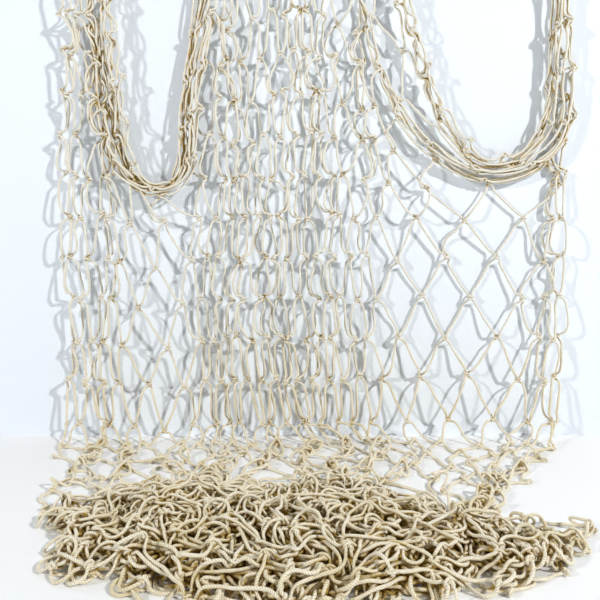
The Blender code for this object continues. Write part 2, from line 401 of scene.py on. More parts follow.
        fallen = ramp(edge_z - level, 0.0, edge_z - self.low_level)
        x = edge_x + (guide.low_x * MM - edge_x) * fallen
        foot = ramp(self.low_level - level, 0.0, self.low_level - self.foot_level)
        x += (guide.foot_x - guide.low_x) * MM * foot
        offset = self._swag_offset(guide, row, wander) * (1 - fallen)
        along_x, along_z = right.edge_x - left.edge_x, right.edge_z - left.edge_z
        length = math.hypot(along_x, along_z)
        return x + offset * along_z / length, level - offset * along_x / length

    def _pleat(self, column: float, row: float) -> tuple[float, float]:
        """How far round its pleat a point of the heap is, and how large the pleat is there."""
        turn = 2 * math.pi * column / self.pleat_columns + self.pleat_slant * row
        return turn, 1 - self.pleat_fading * abs(column / self.columns * 2 - 1)

    def _drawn_in(self, column: float, row: float, x: float, depth: float) -> float:
        """The sideways place of a point, once the net narrows towards the heap's middle."""
        spread = ramp(row, *self.heap_rows)
        turn, size = self._pleat(column, row)
        even = self.floor_left + (self.floor_right - self.floor_left) * column / self.columns
        x += self.evenness * self._slack(row) * (even - x)
        narrowing = self.narrowing + self.right_narrowing * ramp(x, *self.narrow_right)
        x -= narrowing * depth / self.heap_front * (x - self.heap_middle)
        x += spread * self.pleat_reach * size * math.sin(turn)
        return x + HEAP_SWAY.swing(spread, column, row)

    def _rounded(self, column: float, row: float, x: float, depth: float) -> float:
        """The distance from the wall of a point, once the heap is rounded and pleated.

        Args:
            column: The column line.
            row: The row line.
            x: The point's sideways place.
            depth: Its distance from the wall before that.

        Returns:
            Its distance from the wall.
        """
        spread = ramp(row, *self.heap_rows)
        turn, size = self._pleat(column, row)
        aside = (x - self.heap_middle) / self.heap_half_width
        rounding = math.sqrt(max(1 - aside**2, self.least_round))
        depth -= max(depth - self.heap_back, 0.0) * (1 - rounding)
        behind = max(self.heap_front - depth, 0.0) / (self.heap_front - self.heap_back)
        shift = self.right_shift * behind * ramp(x, *self.shift_right)
        depth += shift * ramp(row, *self.shift_rows)
        depth += spread * self.pleat_depth * size * math.cos(turn + self.depth_turn)
        for wave in HEAP_DEPTHS:
            depth += wave.swing(spread, column, row)
        return depth

    def _bulged(self, x: float, depth: float) -> float:
        """The distance from the wall of a point, once the heap's front stands out."""
        front = ramp(depth, *self.front_depth)
        depth += front * self.front_bulge * bell(x, self.bulge_middle, self.bulge_width)
        return depth + front * self.right_bulge * ramp(x, *self.bulge_right)

    def _slack(self, row: float) -> float:
        """How slack the net lies on the floor before the heap."""
        return ramp(row, *self.loose_from) * (1 - ramp(row, *self.loose_to))

    def point(self, column: float, row: float) -> tuple[float, float, float]:
        """Where the net's cord lies before it settles.

        Args:
            column: The column line.
            row: The row line.

        Returns:
            The middle of the cord, in the frame.
        """
        x, level = self._hung_place(column, row)
        fold = read_table(FOLDS, row)
        depth = fold.depth * MM
        x = self._drawn_in(column, row, x, depth)
        depth = self._rounded(column, row, x, depth)
        x += FLOOR_SWAY.swing(self._slack(row), column, row)
        depth = self._bulged(x, depth + FLOOR_DEPTH.swing(self._slack(row), column, row))

        turn, _ = self._pleat(column, row)
        height = -soft_min(-level, -fold.height * MM, self.level_ease / 2)
        height += ramp(row, *self.heap_rows) * self.pleat_lift * (1 + math.cos(turn + self.lift_turn))
        height += FLOOR_LIFT.rise(ramp(row, *self.lift_rows), column, row)

        hung = 1 - ramp(row, *self.stand_off_rows)
        depth += STAND_OFF.rise(hung, column, row)
        close = hung * self.closeness * ramp(column, *self.close_columns)
        depth -= close * ramp(row, *self.close_rows)
        height += HUNG_SWAY.swing(hung * ramp(row, *self.upright_rows), column, row)
        return x, -depth, height - self.hang_height


# ---------------------------------------------------------------- knots and bars
class Leg(Enum):
    """The four legs of cord that leave a knot."""

    UPPER_LEFT = 0
    UPPER_RIGHT = 1
    LOWER_LEFT = 2
    LOWER_RIGHT = 3


@dataclass
class Meshwork:
    """The net's knots, and its bars of cord between them, as numbered points.

    Attributes:
        shape: The surface that the net starts from.
        steps: Straight lengths in one bar.
        places: Column and row of each point, knots first.
        bars: The points of each bar, from its upper knot to its lower one.
        bar_rows: The row of each bar's upper knot.
        bar_halves: Half columns between the net's left side and each bar.
        falls_right: Whether a bar's lower knot is to the right of its upper one.
        legs: The point next to each knot on each of its legs, or -1.
    """

    shape: HungShape
    steps: int = 6
    places: np.ndarray = field(init=False)
    bars: np.ndarray = field(init=False)
    bar_rows: np.ndarray = field(init=False)
    bar_halves: np.ndarray = field(init=False)
    falls_right: np.ndarray = field(init=False)
    legs: np.ndarray = field(init=False)

    def __post_init__(self) -> None:
        """Numbers the knots and the points of the bars, row by row in the twine's order."""
        numbers, shape = self._number_knots(), self.shape
        places = [(column, row) for row, column in numbers]
        self.legs = np.full((len(places), len(Leg)), -1)
        bars, facts = [], []
        for row in range(shape.gathered_top, shape.rows):
            for half in range(2 * shape.columns):
                right = (half + row) % 2 == 0
                upper = numbers.get((row, (half + (not right)) / 2))
                lower = numbers.get((row + 1, (half + right) / 2))
                if upper is None or lower is None:
                    continue
                first = len(places)
                bars.append([upper, *range(first, first + self.steps - 1), lower])
                facts.append((row, half, right))
                places += self._between(places[upper], places[lower])
                down, up = (
                    (Leg.LOWER_RIGHT, Leg.UPPER_LEFT) if right else (Leg.LOWER_LEFT, Leg.UPPER_RIGHT)
                )
                self.legs[upper, down.value] = bars[-1][1]
                self.legs[lower, up.value] = bars[-1][-2]
        self.places, self.bars = np.array(places), np.array(bars)
        self.bar_rows, self.bar_halves, rights = np.array(facts).T
        self.falls_right = rights.astype(bool)

    def _number_knots(self) -> dict[tuple[int, float], int]:
        """The number of the knot at each row and column that has one."""
        numbers = {}
        for row in range(self.shape.gathered_top, self.shape.rows + 1):
            for across in range(self.shape.columns + 1 - row % 2):
                column = across + 0.5 * (row % 2)
                if self.shape.is_inside(column, row):
                    numbers[row, column] = len(numbers)
        return numbers

    def _between(self, upper: Span, lower: Span) -> list[Span]:
        """The column and the row of each point of a bar between its two knots."""
        parts = [step / self.steps for step in range(1, self.steps)]
        return [(upper[0] + (lower[0] - upper[0]) * part, upper[1] + part) for part in parts]

    def knot_rows(self) -> np.ndarray:
        """The row of each knot."""
        return self.places[: len(self.legs), 1]

    def start_points(self) -> np.ndarray:
        """Where each point lies on the surface that the net starts from."""
        return np.array([self.shape.point(*place) for place in self.places])


# ---------------------------------------------------------------- how the cords come to lie
def dots(a: np.ndarray, b: np.ndarray) -> np.ndarray:
    """The dot product of each pair of vectors."""
    return np.einsum("ij,ij->i", a, b)


def near_pairs(points: np.ndarray, reach: float) -> tuple[np.ndarray, np.ndarray]:
    """Finds the points that lie within reach of each other, by sorting them into cells.

    Args:
        points: One point in each row.
        reach: The greatest distance between two points of a pair.

    Returns:
        The first and the second number of each pair, each pair once.
    """
    cells = np.floor((points - points.min(axis=0)) / reach).astype(np.int64) + 1
    size = cells.max(axis=0) + 2
    keys = (cells[:, 0] * size[1] + cells[:, 1]) * size[2] + cells[:, 2]
    order = np.argsort(keys, kind="stable")
    keys, points = keys[order], points[order]
    own = np.arange(len(points))
    firsts, seconds = [], []
    for across, along in ((0, 0), (0, 1), (1, -1), (1, 0), (1, 1)):
        shift = (across * size[1] + along) * size[2]
        starts = np.searchsorted(keys, keys + shift - 1, side="left") if shift else own + 1
        ends = np.searchsorted(keys, keys + shift + 1, side="right")
        counts = ends - starts
        first = np.repeat(own, counts)
        second = np.arange(counts.sum()) + np.repeat(starts - np.cumsum(counts) + counts, counts)
        gap = points[first] - points[second]
        near = dots(gap, gap) < reach**2
        firsts.append(order[first[near]])
        seconds.append(order[second[near]])
    return np.concatenate(firsts), np.concatenate(seconds)


class Springs(NamedTuple):
    """Soft ties between points: the first and second point, the length and the stiffness of each."""

    first: np.ndarray
    second: np.ndarray
    rest: np.ndarray
    stiffness: np.ndarray


class Pairs(NamedTuple):
    """Pairs of straight lengths: the two ends of the first and the two of the second."""

    a0: np.ndarray
    a1: np.ndarray
    b0: np.ndarray
    b1: np.ndarray

    def pick(self, chosen: np.ndarray) -> "Pairs":
        """The chosen pairs."""
        return Pairs(*(ends[chosen] for ends in self))


@dataclass
class Settling:
    """Lets the cords hang, lie and pile up under their own weight.

    Each step moves every point on under gravity. Then it keeps the lengths of the bars, the
    stiffness of the cord and the angles at the knots, and it pushes touching cords apart.

    Attributes:
        hung_bar: The least length of a hung bar, and heaped_bar of a lower one.
        slack: A bar's length for its span on the starting surface.
        uneven_bars: How much the least lengths vary.
        upper_angle: Half the angle between a knot's upper legs, and lower_angle its lower ones.
        drag: The share of its speed that a point keeps.
        farthest_step: The farthest that it drifts in one step.
        hold: How firmly the knots above hung_rows are held, and swag_hold the swags.
        scatter: The random places of the points in loose_rows and below, and hung_scatter above.
        knot_scatter: The random places of the hung knots, which scatter_rows bound.
        bend: The stiffness of the cord, and knot_grip that of the angles at a knot.
        floor_grip: The share of its slip that a point loses on the floor, and cord_grip on a cord.
        refresh: Steps from one search for neighbours to the next.
        look_out: How near the listed neighbours are, of which near_share counts in the search.
        first_thickness: The share of the cord's thickness that counts in the first step.
        growing: The share of the steps in which it grows to the whole.
        last: The places of the points one step before.
    """

    work: Meshwork
    hung_bar: float = 0.0470
    heaped_bar: float = 0.035
    longest_bar: float = 0.0518
    slack: float = 1.06
    uneven_bars: float = 0.05
    cord_radius: float = 0.00115
    knot_radius: float = 0.0022
    upper_angle: float = math.radians(27)
    lower_angle: float = math.radians(57)
    gravity: float = 9.8
    step_time: float = 0.0015
    drag: float = 0.95
    farthest_step: float = 0.0004
    hold: float = 0.04
    swag_hold: float = 0.10
    hung_rows: float = 12.0
    loose_rows: Span = (12.0, 16.0)
    scatter: tuple[float, float, float] = (0.002, 0.002, 0.001)
    hung_scatter: float = 0.0003
    knot_scatter: tuple[float, float, float] = (0.0032, 0.0015, 0.0040)
    scatter_rows: Span = (3.0, 13.0)
    bend: float = 0.40
    knot_grip: float = 0.15
    floor_grip: float = 0.6
    cord_grip: float = 0.5
    refresh: int = 10
    look_out: float = 0.0030
    near_share: float = 0.8
    first_thickness: float = 0.3
    growing: float = 0.3
    seed: int = 11

    random: np.random.Generator = field(init=False)
    points: np.ndarray = field(init=False)
    last: np.ndarray = field(init=False)
    targets: np.ndarray = field(init=False)
    holds: np.ndarray = field(init=False)
    segments: np.ndarray = field(init=False)
    lengths: list[tuple[np.ndarray, np.ndarray, np.ndarray]] = field(init=False)
    springs: Springs = field(init=False)
    radii: np.ndarray = field(init=False)
    pairs: Pairs = field(init=False)

    def __post_init__(self) -> None:
        """Places the points and lists what acts between them."""
        self.random = np.random.default_rng(self.seed)
        self.points = self.work.start_points()
        self._loosen()
        self.last = self.points.copy()
        self.targets = self.points.copy()
        self.holds = self._list_holds()
        self.segments = self._bar_lengths() / self.work.steps
        self.lengths = self._list_lengths()
        self.springs = self._list_springs()
        self.radii = np.full(len(self.points), self.cord_radius)
        self.radii[: len(self.work.legs)] = self.knot_radius

    def _loosen(self) -> None:
        """Gives the points small random places off the surface."""
        rows = self.work.places[:, 1]
        start, end = self.loose_rows
        loose = np.clip((rows - start) / (end - start), 0.0, 1.0)[:, None]
        noise = self.random.normal(size=self.points.shape)
        self.points += loose * noise * np.array(self.scatter)
        self.points += (1 - loose) * noise * self.hung_scatter
        knots = len(self.work.legs)
        start, end = self.scatter_rows
        free = np.clip(rows[:knots] / start, 0.0, 1.0) * np.clip(end - rows[:knots], 0.0, 1.0)
        shift = self.random.normal(size=(knots, 3)) * np.array(self.knot_scatter)
        self.points[:knots] += free[:, None] * shift

    def _list_holds(self) -> np.ndarray:
        """How firmly each point is held: the hung knots, and every point gathered in a swag."""
        holds = np.zeros(len(self.points))
        knots = len(self.work.legs)
        holds[:knots] = self.hold * (self.work.knot_rows() < self.hung_rows)
        columns, rows = self.work.places[:, 0], self.work.places[:, 1]
        edges = np.array([read_table(GUIDES, column).edge_z for column in columns]) * MM
        inside = np.zeros(len(columns), bool)
        for low, high in self.work.shape.gathered_spans:
            inside |= (columns >= low) & (columns <= high)
        holds[inside & (rows < self.work.shape.rows_above(edges))] = self.swag_hold
        return holds

    def _bar_lengths(self) -> np.ndarray:
        """The length of each bar. Those that are pulled along a swag have less slack."""
        ends = self.work.start_points()[self.work.bars[:, [0, -1]]]
        spans = np.linalg.norm(ends[:, 1] - ends[:, 0], axis=1)
        least = np.where(self.work.bar_rows < self.hung_rows, self.hung_bar, self.heaped_bar)
        uneven = 1 + self.uneven_bars * self.random.normal(size=len(spans))
        return np.clip(spans * self.slack, least * uneven, self.longest_bar)

    def _list_lengths(self) -> list[tuple[np.ndarray, np.ndarray, np.ndarray]]:
        """Sorts the straight lengths into sets in which no point occurs twice."""
        lengths = []
        for right in (True, False):
            same = self.work.falls_right == right
            bars, sizes = self.work.bars[same], self.segments[same]
            for parity in (0, 1):
                steps = range(parity, self.work.steps, 2)
                first = np.concatenate([bars[:, k] for k in steps])
                second = np.concatenate([bars[:, k + 1] for k in steps])
                lengths.append((first, second, np.tile(sizes, len(steps))))
        return lengths

    def _list_springs(self) -> Springs:
        """Lists the soft ties that keep a bar straight and a knot's legs apart."""
        bars, legs, s = self.work.bars, self.work.legs, self.heaped_bar / self.work.steps
        reach, bend = 2 * self.segments, np.full(len(bars), self.bend)
        sets = [(bars[:, k], bars[:, k + 2], reach, bend) for k in range(self.work.steps - 1)]
        upper, lower = self.upper_angle, self.lower_angle
        beside = 2 * s * math.cos((upper + lower) / 2)
        crossed = 2 * s * math.cos((lower - upper) / 2)
        ties = (
            (Leg.UPPER_LEFT, Leg.UPPER_RIGHT, 2 * s * math.sin(upper)),
            (Leg.LOWER_LEFT, Leg.LOWER_RIGHT, 2 * s * math.sin(lower)),
            (Leg.UPPER_LEFT, Leg.LOWER_LEFT, beside),
            (Leg.UPPER_RIGHT, Leg.LOWER_RIGHT, beside),
            (Leg.UPPER_LEFT, Leg.LOWER_RIGHT, crossed),
            (Leg.UPPER_RIGHT, Leg.LOWER_LEFT, crossed),
        )
        for one, other, rest in ties:
            first, second = legs[:, one.value], legs[:, other.value]
            both = (first >= 0) & (second >= 0)
            count = both.sum()
            sets.append(
                (first[both], second[both], np.full(count, rest), np.full(count, self.knot_grip))
            )
        return Springs(*(np.concatenate(values) for values in zip(*sets)))

    def _add_to(self, numbers: np.ndarray, moves: np.ndarray) -> np.ndarray:
        """Sums the moves of each point."""
        n = len(self.points)
        return np.stack([np.bincount(numbers, moves[:, k], n) for k in range(3)], axis=1)

    def _keep_lengths(self) -> None:
        """Brings every straight length back to its size."""
        for first, second, segments in self.lengths:
            gap = self.points[second] - self.points[first]
            size = np.sqrt(dots(gap, gap))
            move = gap * (0.5 * (size - segments) / size)[:, None]
            self.points[first] += move
            self.points[second] -= move

    def _spring_back(self) -> None:
        """Straightens the bars and spreads the knots' legs a little."""
        first, second, rest, stiffness = self.springs
        gap = self.points[second] - self.points[first]
        size = np.sqrt(dots(gap, gap))
        move = gap * (0.5 * stiffness * (size - rest) / size)[:, None]
        numbers = np.concatenate((first, second))
        self.points += self._add_to(numbers, np.concatenate((move, -move)))

    def _find_neighbours(self) -> None:
        """Lists the pairs of straight lengths that may soon touch."""
        firsts, seconds = self.work.bars[:, :-1].ravel(), self.work.bars[:, 1:].ravel()
        middles = (self.points[firsts] + self.points[seconds]) / 2
        reach = self.segments.max() + 2 * self.cord_radius + self.look_out * self.near_share
        i, j = near_pairs(middles, reach)
        pairs = Pairs(firsts[i], seconds[i], firsts[j], seconds[j])
        a0, a1, b0, b1 = pairs
        self.pairs = pairs.pick((a0 != b0) & (a0 != b1) & (a1 != b0) & (a1 != b1))
        _, _, _, size = self._closest()
        self.pairs = self.pairs.pick(size < 2 * self.cord_radius + self.look_out)

    def _closest(self) -> tuple[np.ndarray, np.ndarray, np.ndarray, np.ndarray]:
        """Finds where each pair of straight lengths comes closest.

        Returns:
            The share along the first and along the second, the gap from second to first, and
            its size.
        """
        a0, a1, b0, b1 = (self.points[ends] for ends in self.pairs)
        along_a, along_b, between = a1 - a0, b1 - b0, a0 - b0
        aa, bb, ab = dots(along_a, along_a), dots(along_b, along_b), dots(along_a, along_b)
        a_between, b_between = dots(along_a, between), dots(along_b, between)
        slant = np.maximum(aa * bb - ab * ab, LEAST_SLANT)
        s = np.clip((ab * b_between - a_between * bb) / slant, 0.0, 1.0)
        t = np.clip((ab * s + b_between) / bb, 0.0, 1.0)
        s = np.clip((ab * t - a_between) / aa, 0.0, 1.0)
        gap = between + along_a * s[:, None] - along_b * t[:, None]
        return s, t, gap, np.sqrt(dots(gap, gap)) + LEAST_LENGTH

    def _push_apart(self, grown: float) -> None:
        """Moves cords that lie in each other apart, and slows them where they touch.

        Args:
            grown: The share of the real thickness that counts in this step.
        """
        a0, a1, b0, b1 = self.pairs
        s, t, gap, size = self._closest()
        radii = self.radii
        need = radii[a0] * (1 - s) + radii[a1] * s + radii[b0] * (1 - t) + radii[b1] * t
        need *= grown
        touch = size < need
        if not touch.any():
            return
        pairs = self.pairs.pick(touch)
        s, t, size, need = s[touch], t[touch], size[touch], need[touch]
        out = gap[touch] / size[:, None]
        shares = (1 - s, s, -(1 - t), -t)
        weight = (1 - s) ** 2 + s**2 + (1 - t) ** 2 + t**2
        push = ((need - size) / weight)[:, None] * out

        drift = self.points - self.last
        slip = sum(drift[ends] * share[:, None] for ends, share in zip(pairs, shares))
        slip -= out * dots(slip, out)[:, None]
        push -= slip * (self.cord_grip / weight)[:, None]

        numbers = np.concatenate(pairs)
        moves = np.concatenate([push * share[:, None] for share in shares])
        counts = np.maximum(np.bincount(numbers, minlength=len(self.points)), 1)
        self.points += self._add_to(numbers, moves) / np.sqrt(counts)[:, None]

    def _stay_in_room(self) -> None:
        """Keeps every point above the floor and before the wall, and grips it on the floor."""
        floor = self.radii - self.work.shape.hang_height
        under = self.points[:, 2] < floor
        self.points[under, 2] = floor[under]
        slid = self.points[under, :2] - self.last[under, :2]
        self.points[under, :2] -= slid * self.floor_grip
        self.points[:, 1] = np.minimum(self.points[:, 1], -2 * self.radii)

    def run(self, steps: int) -> np.ndarray:
        """Settles the net.

        Args:
            steps: How many steps to make.

        Returns:
            The place of each point.
        """
        fall = np.array([0.0, 0.0, -self.gravity * self.step_time**2])
        thin = self.first_thickness
        for step in range(steps):
            if step % self.refresh == 0:
                self._find_neighbours()
            drift = (self.points - self.last) * self.drag
            speed = np.sqrt(dots(drift, drift))[:, None] + LEAST_DRIFT
            drift *= np.minimum(1.0, self.farthest_step / speed)
            self.last = self.points.copy()
            self.points = self.points + drift + fall
            self.points += (self.targets - self.points) * self.holds[:, None]
            self._spring_back()
            self._keep_lengths()
            self._push_apart(min(1.0, thin + (1 - thin) * step / (self.growing * steps)))
            self._stay_in_room()
        return self.points


# ---------------------------------------------------------------- the cord's own path
class Role(Enum):
    """What a twine does in a knot, as points across, down and to the front, in millimetres."""

    BIGHT = (
        (-2.0, -3.6, 0.3),
        (-1.9, -1.0, 0.0),
        (-1.4, 1.2, -0.2),
        (0.0, 2.3, -0.3),
        (1.4, 1.2, -0.2),
        (1.9, -1.0, 0.0),
        (2.0, -3.6, 0.3),
    )
    WRAP = (
        (-3.0, 2.9, -1.0),
        (-1.0, 1.4, -2.1),
        (0.0, -0.4, 0.0),
        (0.7, -1.3, 2.1),
        (2.6, -1.7, 1.8),
        (3.6, -1.8, 0.0),
        (2.2, -1.9, -2.2),
        (-2.2, -1.9, -2.2),
        (-3.6, -1.5, 0.0),
        (-2.8, -0.3, 1.8),
        (-0.2, 1.3, 2.6),
        (3.0, 2.9, 1.2),
    )


def unit(vectors: np.ndarray) -> np.ndarray:
    """Each vector at length 1."""
    return vectors / np.maximum(np.linalg.norm(vectors, axis=1), LEAST_LENGTH)[:, None]


@dataclass
class KnotFrames:
    """The directions across, down and to the front at each knot, from its legs.

    Attributes:
        work: The net's knots and bars.
        points: The place of each of their points.
        axes: The three directions of each knot, one in each row.
    """

    work: Meshwork
    points: np.ndarray
    axes: np.ndarray = field(init=False)

    def __post_init__(self) -> None:
        """Reads the directions from the legs."""
        legs, middles = self.work.legs, self.points[: len(self.work.legs)]
        reach = {}
        for leg in Leg:
            there = legs[:, leg.value] >= 0
            reach[leg] = np.where(there[:, None], self.points[legs[:, leg.value]] - middles, 0.0)
        right = reach[Leg.UPPER_RIGHT] + reach[Leg.LOWER_RIGHT]
        across = right - reach[Leg.UPPER_LEFT] - reach[Leg.LOWER_LEFT]
        low = reach[Leg.LOWER_LEFT] + reach[Leg.LOWER_RIGHT]
        down = low - reach[Leg.UPPER_LEFT] - reach[Leg.UPPER_RIGHT]
        steep = (dots(down, down) > dots(across, across))[:, None]
        lead, other = unit(np.where(steep, down, across)), np.where(steep, across, down)
        other = unit(other - lead * dots(lead, other)[:, None] + LEAST_SIDE)
        across, down = np.where(steep, other, lead), np.where(steep, lead, other)
        front = np.cross(down, across)
        self.axes = np.stack([across, down, front], axis=1)

    def place(self, knot: int, role: Role, scale: float) -> np.ndarray:
        """The points of a twine's way through a knot.

        Args:
            knot: The knot's number.
            role: What the twine does there.
            scale: The knot's size for its table.

        Returns:
            One point in each row.
        """
        facing = 1 - 2 * (int(self.work.places[knot, 1]) % 2)
        local = np.array(role.value) * MM * scale * np.array([1, 1, facing])
        return self.points[knot] + local @ self.axes[knot]


def smooth_line(
    points: np.ndarray, gaps: np.ndarray
) -> tuple[np.ndarray, np.ndarray, np.ndarray]:
    """Draws a smooth curve through points.

    Args:
        points: The points, one in each row.
        gaps: The greatest distance between new points, for each stretch between two points.

    Returns:
        The new points, and for each one the stretch that it is in and its share of it.
    """
    spans = np.linalg.norm(np.diff(points, axis=0), axis=1)
    knots = np.sqrt(np.maximum(spans, LEAST_SPAN))
    slopes = np.diff(points, axis=0) / knots[:, None]
    ahead, behind = knots[1:, None], knots[:-1, None]
    middle = (slopes[:-1] * ahead + slopes[1:] * behind) / (ahead + behind)
    tangents = np.vstack([slopes[:1], middle, slopes[-1:]])
    counts = np.maximum(np.ceil(spans / gaps).astype(int), 1)
    stretch = np.repeat(np.arange(len(spans)), counts)
    order = np.arange(counts.sum()) - np.repeat(np.cumsum(counts) - counts, counts)
    share = order / counts[stretch]
    stretch, share = np.append(stretch, len(spans) - 1), np.append(share, 1.0)
    leaving, arriving = (knots[stretch, None] * tangents[stretch + k] for k in (0, 1))
    line = hermite(share[:, None], points[stretch], leaving, points[stretch + 1], arriving)
    return line, stretch, share


@dataclass
class Cord:
    """One smooth length of twine: its points, its thickness at each, and its length so far."""

    points: np.ndarray
    radii: np.ndarray
    along: np.ndarray


@dataclass(frozen=True)
class Strip:
    """A band of the net's rows that is one piece.

    Attributes:
        name: The piece's name.
        first_row: Its first row of bars.
        last_row: The row after its last row of bars.
        gap: The greatest length of one straight step of the cord.
        radius: Half the cord's thickness, which is less where it lies slack.
        knot_scale: The knots' size for their tables.
        held: How it is held, hung or draped. Not used.
    """

    name: str
    first_row: int
    last_row: int
    gap: float
    radius: float
    knot_scale: float
    held: str


@dataclass
class NetCords:
    """Lays the twines of a net along its settled points, with a knot where they meet.

    Attributes:
        work: The net's knots and bars.
        points: The place of each of their points.
        knot_gap: The greatest length of one straight step in a knot.
        knot_squeeze: The cord's thickness in a knot for its own.
        unevenness: How much its thickness varies, and mark_step from where to where.
        frames: The directions at the knots.
    """

    work: Meshwork
    points: np.ndarray
    knot_gap: float = 0.0022
    knot_squeeze: float = 0.86
    unevenness: float = 0.05
    mark_step: float = 0.006
    seed: int = 5
    frames: KnotFrames = field(init=False)
    random: np.random.Generator = field(init=False)

    def __post_init__(self) -> None:
        """Reads the knots' directions and starts the random numbers."""
        self.frames = KnotFrames(self.work, self.points)
        self.random = np.random.default_rng(self.seed)

    def _runs(self, row: int) -> list[list[int]]:
        """The bars of a row, in unbroken runs from left to right."""
        numbers = np.flatnonzero(self.work.bar_rows == row)
        breaks = np.flatnonzero(np.diff(self.work.bar_halves[numbers]) > 1) + 1
        return [list(run) for run in np.split(numbers, breaks)]

    def _way(self, run: list[int], strip: Strip) -> tuple[np.ndarray, np.ndarray]:
        """The points through which a twine goes down and up along a run of bars.

        Args:
            run: The numbers of the bars, from left to right.
            strip: The strip that they belong to.

        Returns:
            The points, and whether each is in a knot.
        """
        pieces, tight = [], []
        for order, bar in enumerate(run):
            ends = self.work.bars[bar]
            right = bool(self.work.falls_right[bar])
            inner = ends[1:-1] if right else ends[-2:0:-1]
            start, finish = (ends[0], ends[-1]) if right else (ends[-1], ends[0])
            role = Role.WRAP if right else Role.BIGHT
            knot = self.frames.place(start, role, strip.knot_scale)
            if order == 0:
                knot = knot[len(knot) // 2 :]
            pieces += [knot, self.points[inner]]
            tight += [np.ones(len(knot), bool), np.zeros(len(inner), bool)]
            if bar == run[-1]:
                role = Role.BIGHT if right else Role.WRAP
                knot = self.frames.place(finish, role, strip.knot_scale)
                knot = knot[: len(knot) // 2 + 1]
                pieces.append(knot)
                tight.append(np.ones(len(knot), bool))
        return np.concatenate(pieces), np.concatenate(tight)

    def _twine(self, run: list[int], strip: Strip) -> Cord:
        """Lays a twine along a run of bars.

        Args:
            run: The numbers of the bars, from left to right.
            strip: The strip that they belong to.

        Returns:
            The twine, nowhere below the floor or behind the wall.
        """
        points, tight = self._way(run, strip)
        in_knot = tight[:-1] & tight[1:]
        line, stretch, share = smooth_line(points, np.where(in_knot, self.knot_gap, strip.gap))
        squeeze = np.where(tight, self.knot_squeeze, 1.0)
        radii = squeeze[stretch] + (squeeze[stretch + 1] - squeeze[stretch]) * share
        steps = np.linalg.norm(np.diff(line, axis=0), axis=1)
        along = np.concatenate([[0.0], np.cumsum(steps)])
        marks = np.arange(0.0, along[-1] + 2 * self.mark_step, self.mark_step)
        wander = np.interp(along, marks, self.random.normal(size=len(marks)))
        radii = strip.radius * radii * (1 + self.unevenness * wander)
        line[:, 1] = np.minimum(line[:, 1], -radii)
        line[:, 2] = np.maximum(line[:, 2], radii - self.work.shape.hang_height)
        return Cord(line, radii, along)

    def twines(self, strip: Strip) -> list[Cord]:
        """The twines of a strip of rows."""
        rows = range(strip.first_row, strip.last_row)
        return [self._twine(run, strip) for row in rows for run in self._runs(row)]


@dataclass
class Nooks:
    """Where cord lies close together, as a coarse grid of how full the space is, for the painted shade
    between cords.

    Attributes:
        cords: All the cords of the net.
        cell: The side of one cell of the grid.
        reach: How far out from a surface the space is looked at.
        fullest: The share of filled space that counts as a full nook.
        margin: Empty cells on each side of the cords.
        corner: The grid's first corner.
        full: The share of each cell that is filled.
    """

    cords: list[Cord]
    cell: float = 0.003
    reach: float = 0.0040
    fullest: float = 0.30
    margin: int = 3
    corner: np.ndarray = field(init=False)
    full: np.ndarray = field(init=False)

    def __post_init__(self) -> None:
        """Fills the grid with the cords and blurs it a little."""
        places = np.concatenate([cord.points for cord in self.cords])
        steps = np.concatenate([np.gradient(cord.along) for cord in self.cords])
        radii = np.concatenate([cord.radii for cord in self.cords])
        self.corner = places.min(axis=0) - self.margin * self.cell
        cells = ((places - self.corner) / self.cell).astype(int)
        size = cells.max(axis=0) + self.margin + 1
        flat = np.ravel_multi_index(cells.T, size)
        volumes = math.pi * radii**2 * steps
        full = np.bincount(flat, volumes, minlength=int(np.prod(size))).reshape(size)
        for axis in range(3):
            full = (np.roll(full, 1, axis) + 2 * full + np.roll(full, -1, axis)) / 4
        self.full = full / self.cell**3

    def shares(self, places: np.ndarray, normals: np.ndarray) -> np.ndarray:
        """Finds how deep in a nook each point of a surface is.

        Args:
            places: The points.
            normals: The surface's outward direction at each.

        Returns:
            A share for each, from 0 to 1.
        """
        ahead = (places + normals * self.reach - self.corner) / self.cell
        cells = np.clip(ahead.astype(int), 0, np.array(self.full.shape) - 1)
        return np.clip(self.full[tuple(cells.T)] / self.fullest, 0.0, 1.0)


def add_object(name: str, data: bpy.types.ID) -> bpy.types.Object:
    """Makes an object and adds it to the scene."""
    made = bpy.data.objects.new(name, data)
    bpy.context.scene.collection.objects.link(made)
    return made


